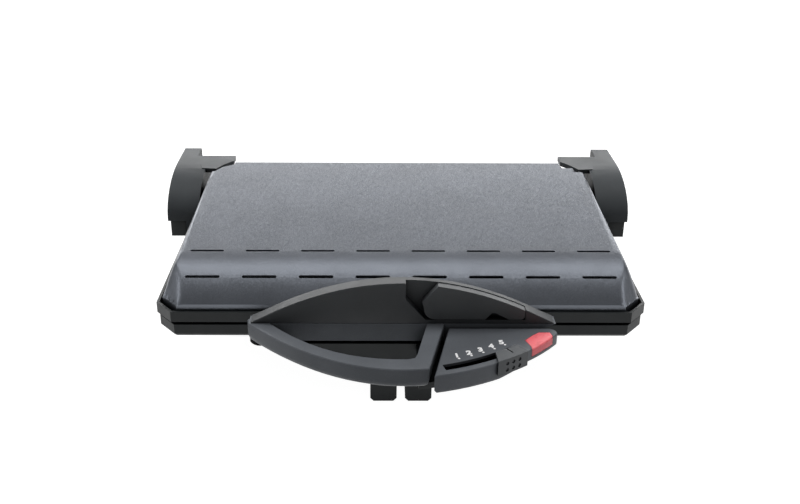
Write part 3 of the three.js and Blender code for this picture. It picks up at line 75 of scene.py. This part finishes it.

# Surfaces: how far the painted shade in gaps reaches and how dark it gets, sharp edges, flakes, blotches,
# flecks, lighter edges that are partly rubbed wear and partly painted highlight, and the streaks of bare
# metal
PAINTED_SHADE_REACH_MM = 26
PAINTED_SHADE_DARKEST = 0.25
PAINTED_SHADE_CLOSED = 0.2
PAINTED_SHADE_OPEN = 0.72
EDGE_REACH_MM = 0.8
EDGE_SHARP = 0.75
EDGE_FLAT = 0.995
FLAKE_MM = 0.5
BLOTCH_MM = 40
FLECK_GAIN = 3.2
FLECK_LIFT = 0.03
WORN_AND_LIT_GAIN = 1.8
WORN_AND_LIT_LIFT = 0.02
WORN_AND_LIT_PATCH_MM = 9
STREAK_SCALE = 900
STREAK_STRETCH = 0.04
STREAK_DEPTH_MM = 0.003
STREAK_DULL = 0.75
STREAK_PATCH_MM = 12

# Edges of the solids: radii in millimetres, and the angles in degrees from which an edge is rounded or split
SCREW_EDGE = 0.15
PLATE_EDGE = 0.2
MOULDED_EDGE = 0.3
RIM_EDGE = 0.35
CORE_EDGE = 0.4
PANEL_EDGE = 0.5
COVER_EDGE = 0.6
KNOB_EDGE = 0.8
GRIP_EDGE = 1.2
WELD_MM = 0.005
EDGE_ANGLE = 32
SPLIT_ANGLE = 46
BEVEL_SEGMENTS = 2

# Light. The room's level is ROOM_LEVEL at the sides, with ROOM_BEHIND more behind the object and as
# much less in front, and ROOM_ABOVE more overhead. A strength of 1 is white.
FLOOR_LEVEL = 0.97
FLOOR_SIZE = 12
ROOM_LEVEL = 0.24
ROOM_BEHIND = 0.2
ROOM_ABOVE = 0.22
WHITE_LEVEL = 1.0

# Lamps: name, place, target and size in metres, and power in watts
LAMPS = [
    ("softbox behind", (0, 1.85, 0.7), (0, 0.03, 0.08), (3.6, 0.7), 32),
    ("high light behind", (0, 0.55, 1.9), (0, -0.05, 0.09), (2.4, 0.8), 15),
    ("strip at the left", (-1.5, -0.1, 0.9), (-0.15, -0.05, 0.08), (0.3, 1.2), 4),
    ("strip at the right", (1.5, -0.1, 0.9), (0.15, -0.05, 0.08), (0.3, 1.2), 4),
    ("soft fill in front", (0, -1.95, 0.85), (0, 0, 0.05), (2.0, 0.8), 0.8),
]


def linear(colour, alpha=1.0):
    """A seen colour as the linear values that a shader takes."""
    parts = [c / 12.92 if c <= 0.04045 else ((c + 0.055) / 1.055) ** 2.4 for c in colour]
    return (*parts, alpha)


def scaled(colour, gain, lift=0.0):
    """A linear colour made darker or lighter, at most white."""
    return tuple(min(c * gain + lift, 1.0) for c in colour[:3]) + (1.0,)


class Nodes:
    """Short ways to add and join the nodes of one material."""

    def __init__(self, name):
        self.material = bpy.data.materials.new(name)
        self.material.use_nodes = True
        self.tree = self.material.node_tree
        self.shader = self.tree.nodes["Principled BSDF"]
        self.output = self.tree.nodes["Material Output"]
        self.coords = self.add("ShaderNodeTexCoord").outputs["Object"]

    def add(self, kind, **values):
        node = self.tree.nodes.new(kind)
        for key, value in values.items():
            setattr(node, key, value)
        return node

    def join(self, start, end):
        self.tree.links.new(start, end)

    def noise(self, size_mm, detail=2.0, roughness=0.5):
        node = self.add("ShaderNodeTexNoise")
        node.inputs["Scale"].default_value = 1 / (size_mm * MM)
        node.inputs["Detail"].default_value = detail
        node.inputs["Roughness"].default_value = roughness
        self.join(self.coords, node.inputs["Vector"])
        return node.outputs["Fac"]

    def ramp(self, value, low, high, first, last):
        node = self.add("ShaderNodeMapRange")
        node.clamp = True
        self.join(value, node.inputs["Value"])
        node.inputs["From Min"].default_value = low
        node.inputs["From Max"].default_value = high
        node.inputs["To Min"].default_value = first
        node.inputs["To Max"].default_value = last
        return node.outputs["Result"]

    def mix_colour(self, factor, first, second):
        node = self.add("ShaderNodeMix", data_type="RGBA")
        self.join(factor, node.inputs["Factor"])
        for socket, colour in ((node.inputs["A"], first), (node.inputs["B"], second)):
            if isinstance(colour, tuple):
                socket.default_value = colour
            else:
                self.join(colour, socket)
        return node.outputs["Result"]

    def maths(self, operation, first, second):
        node = self.add("ShaderNodeMath", operation=operation)
        for socket, value in zip(node.inputs, (first, second)):
            if isinstance(value, (int, float)):
                socket.default_value = value
            else:
                self.join(value, socket)
        return node.outputs["Value"]

    def edge(self, radius_mm=EDGE_REACH_MM):
        """1 on sharp outer edges, falling to 0 on flat faces."""
        bevel = self.add("ShaderNodeBevel", samples=4)
        bevel.inputs["Radius"].default_value = radius_mm * MM
        normal = self.add("ShaderNodeNewGeometry").outputs["Normal"]
        dot = self.add("ShaderNodeVectorMath", operation="DOT_PRODUCT")
        self.join(bevel.outputs["Normal"], dot.inputs[0])
        self.join(normal, dot.inputs[1])
        return self.ramp(dot.outputs["Value"], EDGE_SHARP, EDGE_FLAT, 1.0, 0.0)

    def painted_crevice_shade(self):
        """Painted shade: 1 in the open, falling to the dark value in gaps and pockets, where shade falls."""
        near = self.add("ShaderNodeAmbientOcclusion", samples=6)
        near.inputs["Distance"].default_value = PAINTED_SHADE_REACH_MM * MM
        return self.ramp(near.outputs["AO"], PAINTED_SHADE_CLOSED, PAINTED_SHADE_OPEN, PAINTED_SHADE_DARKEST, 1.0)

    def bump(self, height, distance_mm, strength=1.0, tilt=0.0):
        """Relief from a height, and small flakes that each lean their own way if a tilt is given."""
        node = self.add("ShaderNodeBump")
        node.inputs["Strength"].default_value = strength
        node.inputs["Distance"].default_value = distance_mm * MM
        self.join(height, node.inputs["Height"])
        normal = node.outputs["Normal"]
        if tilt:
            cells = self.add("ShaderNodeTexVoronoi")
            cells.inputs["Scale"].default_value = 1 / (FLAKE_MM * MM)
            self.join(self.coords, cells.inputs["Vector"])
            lean = self.add("ShaderNodeVectorMath", operation="MULTIPLY_ADD")
            self.join(cells.outputs["Color"], lean.inputs[0])
            lean.inputs[1].default_value = (tilt, tilt, tilt)
            lean.inputs[2].default_value = (-tilt / 2, -tilt / 2, -tilt / 2)
            both = self.add("ShaderNodeVectorMath", operation="ADD")
            self.join(normal, both.inputs[0])
            self.join(lean.outputs["Vector"], both.inputs[1])
            unit = self.add("ShaderNodeVectorMath", operation="NORMALIZE")
            self.join(both.outputs["Vector"], unit.inputs[0])
            normal = unit.outputs["Vector"]
        self.join(normal, self.shader.inputs["Normal"])


def grained(name, colour, roughness, grain_mm=0.7, depth_mm=0.02, variation=0.10, edge_wear_and_highlight=0.12,
            metallic=0.0, flecks=0.0, fleck_mm=0.45, specular=0.28, paint_crevice_shade=True,
            flakes=0.0):
    """A moulded, coated or cast surface: soft blotches, fine grain and lighter edges that are partly rubbed
    wear and partly painted highlight, painted shade in gaps if that is switched on, and with light flecks or
    leaning flakes if these are given."""
    n = Nodes(name)
    base = linear(colour)
    lighter = scaled(base, 1 + variation)
    blotches = n.ramp(n.noise(BLOTCH_MM, 3.0), 0.35, 0.65, 0.0, 1.0)
    result = n.mix_colour(blotches, scaled(base, 1 - variation), lighter)
    grain = n.noise(grain_mm, 3.0, 0.6)
    result = n.mix_colour(n.ramp(grain, 0.3, 0.7, 0.0, variation), result, lighter)
    if flecks:
        spots = n.ramp(n.noise(fleck_mm, 1.0), 0.60, 0.72, 0.0, flecks)
        result = n.mix_colour(spots, result, scaled(base, FLECK_GAIN, FLECK_LIFT))
    # Lighter sharp edges: partly rubbed wear, partly painted highlight where the edges catch the light
    if edge_wear_and_highlight:
        patchy = n.ramp(n.noise(WORN_AND_LIT_PATCH_MM, 4.0), 0.35, 0.7, 0.2, 1.0)
        worn_and_lit = n.maths("MULTIPLY", n.maths("MULTIPLY", n.edge(), patchy), edge_wear_and_highlight)
        result = n.mix_colour(worn_and_lit, result, scaled(base, WORN_AND_LIT_GAIN, WORN_AND_LIT_LIFT))
    # Painted shade: colour and gloss made darker in gaps and pockets, where shade falls
    if paint_crevice_shade:
        result = n.mix_colour(n.painted_crevice_shade(), (0, 0, 0, 1), result)
        n.join(n.ramp(n.painted_crevice_shade(), 0.0, 1.0, 0.0, specular), n.shader.inputs["Specular IOR Level"])
    n.join(result, n.shader.inputs["Base Color"])
    n.join(n.ramp(n.noise(BLOTCH_MM / 3, 4.0), 0.3, 0.7, roughness * 0.92, roughness * 1.08),
           n.shader.inputs["Roughness"])
    n.shader.inputs["Metallic"].default_value = metallic
    n.shader.inputs["Specular IOR Level"].default_value = specular
    n.bump(grain, depth_mm, tilt=flakes)
    return n.material


def brushed(name, colour, roughness):
    """Rolled or turned metal with fine streaks along X."""
    n = Nodes(name)
    stretch = n.add("ShaderNodeMapping")
    stretch.inputs["Scale"].default_value = (STREAK_STRETCH, 1.0, 1.0)
    n.join(n.coords, stretch.inputs["Vector"])
    streaks = n.add("ShaderNodeTexNoise")
    streaks.inputs["Scale"].default_value = STREAK_SCALE
    streaks.inputs["Detail"].default_value = 3.0
    n.join(stretch.outputs["Vector"], streaks.inputs["Vector"])
    base = linear(colour)
    brightness = n.ramp(streaks.outputs["Fac"], 0.3, 0.7, 0.0, 1.0)
    n.join(n.mix_colour(brightness, scaled(base, STREAK_DULL), base), n.shader.inputs["Base Color"])
    n.join(n.ramp(n.noise(STREAK_PATCH_MM, 3.0), 0.3, 0.7, roughness * 0.8, roughness * 1.2),
           n.shader.inputs["Roughness"])
    n.shader.inputs["Metallic"].default_value = 1.0
    n.bump(streaks.outputs["Fac"], STREAK_DEPTH_MM)
    return n.material


def lens(name):
    """Clear red plastic: light pink as a painted glow, deep red at the edges as painted shade, with random
    deeper patches.
    """
    n = Nodes(name)
    # Painted glow: the light pink base; painted shade: the deeper red along the edges
    base = linear(LENS_PAINTED_GLOW)
    deep = linear(LENS_DEEP)
    patches = n.ramp(n.noise(6, 3.0), 0.55, 0.75, 0.0, 0.55)
    painted_edge_shade = n.maths("MULTIPLY", n.edge(1.0), 0.7)
    n.join(n.mix_colour(n.maths("MAXIMUM", patches, painted_edge_shade), base, deep), n.shader.inputs["Base Color"])
    n.join(n.ramp(n.noise(5, 2.0), 0.3, 0.7, 0.3, 0.4), n.shader.inputs["Roughness"])
    n.shader.inputs["Specular IOR Level"].default_value = 0.25
    n.shader.inputs["Subsurface Weight"].default_value = 0.25
    n.shader.inputs["Subsurface Radius"].default_value = (0.004, 0.0012, 0.0012)
    n.bump(n.noise(1.6, 2.0), 0.05, 0.5)
    return n.material


def soften(obj, width_mm):
    """Join the split corners, put a small real radius on sharp edges, and shade the flat faces flat."""
    for polygon in obj.data.polygons:
        polygon.use_smooth = True
    weld = obj.modifiers.new("Joined corners", "WELD")
    weld.merge_threshold = WELD_MM * MM
    if width_mm:
        bevel = obj.modifiers.new("Edge radius", "BEVEL")
        bevel.width = width_mm * MM
        bevel.segments = BEVEL_SEGMENTS
        bevel.limit_method = "ANGLE"
        bevel.angle_limit = math.radians(EDGE_ANGLE)
        bevel.use_clamp_overlap = True
    split = obj.modifiers.new("Sharp edges", "EDGE_SPLIT")
    split.split_angle = math.radians(SPLIT_ANGLE)
    split.use_edge_sharp = False
    flat = obj.modifiers.new("Flat faces stay flat", "WEIGHTED_NORMAL")
    flat.mode = "FACE_AREA"
    flat.weight = 50
    flat.thresh = 0.01


def dress(names, material, radius_mm):
    for name in names:
        obj = nodes[name]
        obj.data.materials.clear()
        obj.data.materials.append(material)
        soften(obj, radius_mm)


def named(*starts):
    """The frame's nodes whose names begin with one of these words."""
    return [name for name in nodes if name.startswith(starts)]


def finish_base():
    dark = grained("moulded dark plastic", DARK_GREY, 0.5)
    dress(["base_housing", "bottom_cover", "panel_floor"], dark, MOULDED_EDGE)
    dress(named("front_leg"), dark, PANEL_EDGE)
    rubber = grained("black rubber", RUBBER_BLACK, 0.8, grain_mm=0.5, depth_mm=0.03, edge_wear_and_highlight=0.0)
    dress(named("rubber_foot", "cord_inlet"), rubber, MOULDED_EDGE)
    coating = grained("non-stick coating", COATING, 0.38, grain_mm=0.35, depth_mm=0.012, flecks=0.25,
                      metallic=0.2)
    dress(["lower_plate", "upper_plate"], coating, MOULDED_EDGE)
    steel_pieces = named(
        "cover_screw", "bracket_screw", "arm_screw", "handle_screw", "plate_clip", "stand_pin", "hinge_shaft")
    dress(steel_pieces, brushed("bright steel", STEEL, 0.3), SCREW_EDGE)
    dress(["lower_heater", "upper_heater"], brushed("element sheath", ZINC, 0.4), 0)
    # Painted shade: the hinge brackets are coloured black for the shade under the hinge arms
    bracket_shade = grained("hinge bracket in painted shade black", BRACKET_SHADE_BLACK, 0.4, specular=0.25)
    dress(named("hinge_bracket"), bracket_shade, PLATE_EDGE)
    enamel = grained("black enamel", ENAMEL_BLACK, 0.8, edge_wear_and_highlight=0.0, specular=0.05)
    dress(["lower_reflector", "upper_reflector"], enamel, PLATE_EDGE)
    dress(["terminal_block", "lamp_holder"], grained("glazed ceramic", CERAMIC, 0.35, edge_wear_and_highlight=0.0), PLATE_EDGE)
    resistant = grained("heat resistant plastic", INNER_BLACK, 0.8, edge_wear_and_highlight=0.0, specular=0.05)
    dress(["temperature_regulator", "slider_carriage", *named("hinge_block")], resistant, PLATE_EDGE)


def finish_panel():
    panel = grained("panel plastic", PANEL_GREY, 0.45, grain_mm=0.5, depth_mm=0.015, flecks=0.10)
    dress(["control_panel"], panel, PANEL_EDGE)
    # The knob's lighter edges are partly painted highlight, for the glint along its top front edge
    knob = grained("knob plastic", KNOB_GREY, 0.2, grain_mm=0.5, depth_mm=0.006, edge_wear_and_highlight=0.3, specular=0.25)
    dress(["slider_knob"], knob, KNOB_EDGE)
    dress(["lamp_lens"], lens("red lens"), MOULDED_EDGE)


def finish_lid():
    # The lid's lighter edges and creases are partly painted highlight, for the bright streaks along its
    # corners
    paint = grained("speckled metallic paint", LID_GREY, 0.32, grain_mm=0.9, variation=0.05, edge_wear_and_highlight=0.3,
                    metallic=0.8, flecks=0.06, fleck_mm=0.5, flakes=0.11)
    dress(["lid_shell"], paint, MOULDED_EDGE)
    dress(["lid_frame"], grained("frame plastic", DARK_GREY, 0.45), RIM_EDGE)
    grip = grained("grip plastic", GRIP_GREY, 0.42, grain_mm=0.5, depth_mm=0.015, flecks=0.08, specular=0.15)
    dress(["handle_grip"], grip, GRIP_EDGE)
    for node, name, colour in (
        ("handle_fin", "fin plastic", FIN_GREY),
        ("folding_stand", "stand plastic", STAND_GREY),
    ):
        dress([node], grained(name, colour, 0.5, grain_mm=0.5, depth_mm=0.015, specular=0.42), RIM_EDGE)
    dress(named("arm_core"), grained("arm core plastic", DARK_GREY, 0.5), CORE_EDGE)
    cover = grained("arm cover plastic", ARM_GREY, 0.45, grain_mm=0.5, depth_mm=0.015, specular=0.1)
    dress(named("arm_cover"), cover, COVER_EDGE)


# Scale marks on the control panel: figures and dots on arcs round the slider's centre, in millimetres in
# the frame, and angles in degrees
NUMERAL_SIZE = 7.0
NUMERAL_TURN = 14
NUMERAL_WEIGHT = 0.4
NUMERAL_SHEAR = 0.12
MARK_THICKNESS = 0.08
DOT_RADIUS = 0.85
DOT_CORNERS = 20
SLIDER_CENTRE = (-15.2, -18.8)
NUMERAL_RADIUS = 137.5
DOT_RADIUS_FROM_CENTRE = 141.5
FIRST_MARK = 21.7
MARK_STEP = 3.85
MARK_COUNT = 5


def printed_marks():
    ink = grained("white print", PRINT_WHITE, 0.5, variation=0.03, edge_wear_and_highlight=0.0, paint_crevice_shade=False)
    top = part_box("control_panel")[1][2]
    for i in range(MARK_COUNT):
        angle = math.radians(FIRST_MARK + i * MARK_STEP)
        figure_place, dot_place = [
            (
                (SLIDER_CENTRE[0] + radius * math.sin(angle)) * MM,
                (SLIDER_CENTRE[1] - radius * math.cos(angle)) * MM,
                top + MARK_THICKNESS * MM / 2,
            )
            for radius in (NUMERAL_RADIUS, DOT_RADIUS_FROM_CENTRE)
        ]
        figure = bpy.data.curves.new(f"figure_{i + 1}", "FONT")
        figure.body = str(i + 1)
        figure.size = NUMERAL_SIZE * MM
        figure.shear = NUMERAL_SHEAR
        figure.extrude = MARK_THICKNESS * MM / 2
        figure.offset = NUMERAL_WEIGHT * MM
        figure.align_x = "CENTER"
        figure.align_y = "CENTER"
        text = bpy.data.objects.new(f"figure_{i + 1}", figure)
        bpy.context.scene.collection.objects.link(text)
        text.location = figure_place
        text.rotation_euler = (0, 0, math.radians(NUMERAL_TURN))
        bpy.ops.mesh.primitive_cylinder_add(
            radius=DOT_RADIUS * MM, depth=MARK_THICKNESS * MM, vertices=DOT_CORNERS, location=dot_place,
        )
        dot = bpy.context.object
        dot.name = f"scale_dot_{i + 1}"
        for piece in (text, dot):
            piece.data.materials.append(ink)
            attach(piece, "base")


# Small fills behind the lid's corners, where its skin is open: for each corner the place on the right, the
# way it faces, the radius, and how far it is sunk, in millimetres in the frame
CORNER_FILLS = {
    "front": ((168.9, -69.1, 74.3), (0.64, -0.53, 0.56), 2.0, 0.35),
    "rear": ((168.6, 112.9, 86.5), (0.69, 0.69, 0.21), 6.2, 0.9),
}
CORNER_FILL_THICKNESS = 0.4
CORNER_FILL_CORNERS = 16


def corner_fills():
    paint = nodes["lid_shell"].data.materials[0]
    for corner, (middle, outward, radius, sunk) in CORNER_FILLS.items():
        for side, word in ((-1, "left"), (1, "right")):
            facing = Vector((side * outward[0], *outward[1:])).normalized()
            place = Vector((side * middle[0], *middle[1:])) - facing * sunk
            bpy.ops.mesh.primitive_cylinder_add(
                radius=radius * MM, depth=CORNER_FILL_THICKNESS * MM, vertices=CORNER_FILL_CORNERS,
                location=place * MM, rotation=facing.to_track_quat("Z", "Y").to_euler(),
            )
            fill = bpy.context.object
            fill.name = f"corner_fill_{corner}_{word}"
            fill.data.materials.append(paint)
            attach(fill, "lid")


def area_light(name, place, target, size, power):
    data = bpy.data.lights.new(name, "AREA")
    data.shape = "RECTANGLE"
    data.size, data.size_y = size
    data.energy = power
    lamp = bpy.data.objects.new(name, data)
    bpy.context.scene.collection.objects.link(lamp)
    lamp.location = place
    lamp.rotation_euler = (Vector(target) - Vector(place)).to_track_quat("-Z", "Y").to_euler()
    lamp.visible_camera = False


def studio():
    bpy.ops.mesh.primitive_plane_add(size=FLOOR_SIZE, location=(0, 0, 0))
    floor = bpy.context.object
    floor.name = "floor"
    n = Nodes("pale floor")
    n.tree.nodes.remove(n.shader)
    diffuse = n.add("ShaderNodeBsdfDiffuse")
    diffuse.inputs["Color"].default_value = linear(FLOOR_WHITE)
    glow = n.add("ShaderNodeEmission")
    n.join(n.maths("MULTIPLY", seen_background(n.tree), FLOOR_LEVEL), glow.inputs["Strength"])
    both = n.add("ShaderNodeAddShader")
    n.join(diffuse.outputs["BSDF"], both.inputs[0])
    n.join(glow.outputs["Emission"], both.inputs[1])
    n.join(both.outputs["Shader"], n.output.inputs["Surface"])
    floor.data.materials.append(n.material)

    world = bpy.data.worlds.new("studio")
    bpy.context.scene.world = world
    world.use_nodes = True
    tree = world.node_tree
    sky = tree.nodes["Background"]
    direction = tree.nodes.new("ShaderNodeSeparateXYZ")
    tree.links.new(tree.nodes.new("ShaderNodeTexCoord").outputs["Generated"], direction.inputs["Vector"])
    room = None
    for axis, share in (("Y", ROOM_BEHIND), ("Z", ROOM_ABOVE)):
        part = tree.nodes.new("ShaderNodeMath")
        part.operation = "MULTIPLY_ADD"
        tree.links.new(direction.outputs[axis], part.inputs[0])
        part.inputs[1].default_value = share
        part.inputs[2].default_value = ROOM_LEVEL
        if room:
            tree.links.new(room, part.inputs[2])
        room = part.outputs["Value"]
    # White for the camera and through glass; gloss sees the room's level here, unlike on the floor
    level = tree.nodes.new("ShaderNodeMapRange")
    tree.links.new(seen_background(tree, glossy=False), level.inputs["Value"])
    tree.links.new(room, level.inputs["To Min"])
    level.inputs["To Max"].default_value = WHITE_LEVEL
    tree.links.new(level.outputs["Result"], sky.inputs["Strength"])
    sky.inputs["Color"].default_value = (1, 1, 1, 1)

    for lamp in LAMPS:
        area_light(*lamp)


def seen_background(tree, glossy=True):
    """1 for the rays of the camera and of glass, and for those of gloss too unless glossy is off."""
    path = tree.nodes.new("ShaderNodeLightPath")
    result = path.outputs["Is Camera Ray"]
    for kind in ["Is Transmission Ray"] + (["Is Glossy Ray"] if glossy else []):
        either = tree.nodes.new("ShaderNodeMath")
        either.operation = "MAXIMUM"
        tree.links.new(result, either.inputs[0])
        tree.links.new(path.outputs[kind], either.inputs[1])
        result = either.outputs["Value"]
    return result


def camera():
    data = bpy.data.cameras.new("photo view")
    data.sensor_width = SENSOR_MM
    data.lens = LENS_MM
    data.shift_x = (IMAGE_WIDTH / 2 - PRINCIPAL_X) / IMAGE_WIDTH
    data.clip_start = CAMERA_NEAR
    eye = bpy.data.objects.new("photo view", data)
    bpy.context.scene.collection.objects.link(eye)
    heading = Matrix.Rotation(math.radians(-CAMERA_RIGHT), 4, "Z")
    tilt = Matrix.Rotation(math.radians(90 - CAMERA_DOWN), 4, "X")
    roll = Matrix.Rotation(math.radians(CAMERA_ROLL), 4, "Z")
    eye.matrix_world = Matrix.Translation(CAMERA_PLACE) @ heading @ tilt @ roll
    bpy.context.scene.camera = eye


finish_base()
finish_panel()
finish_lid()
printed_marks()
corner_fills()
studio()
camera()
bpy.context.scene.view_settings.view_transform = "Standard"
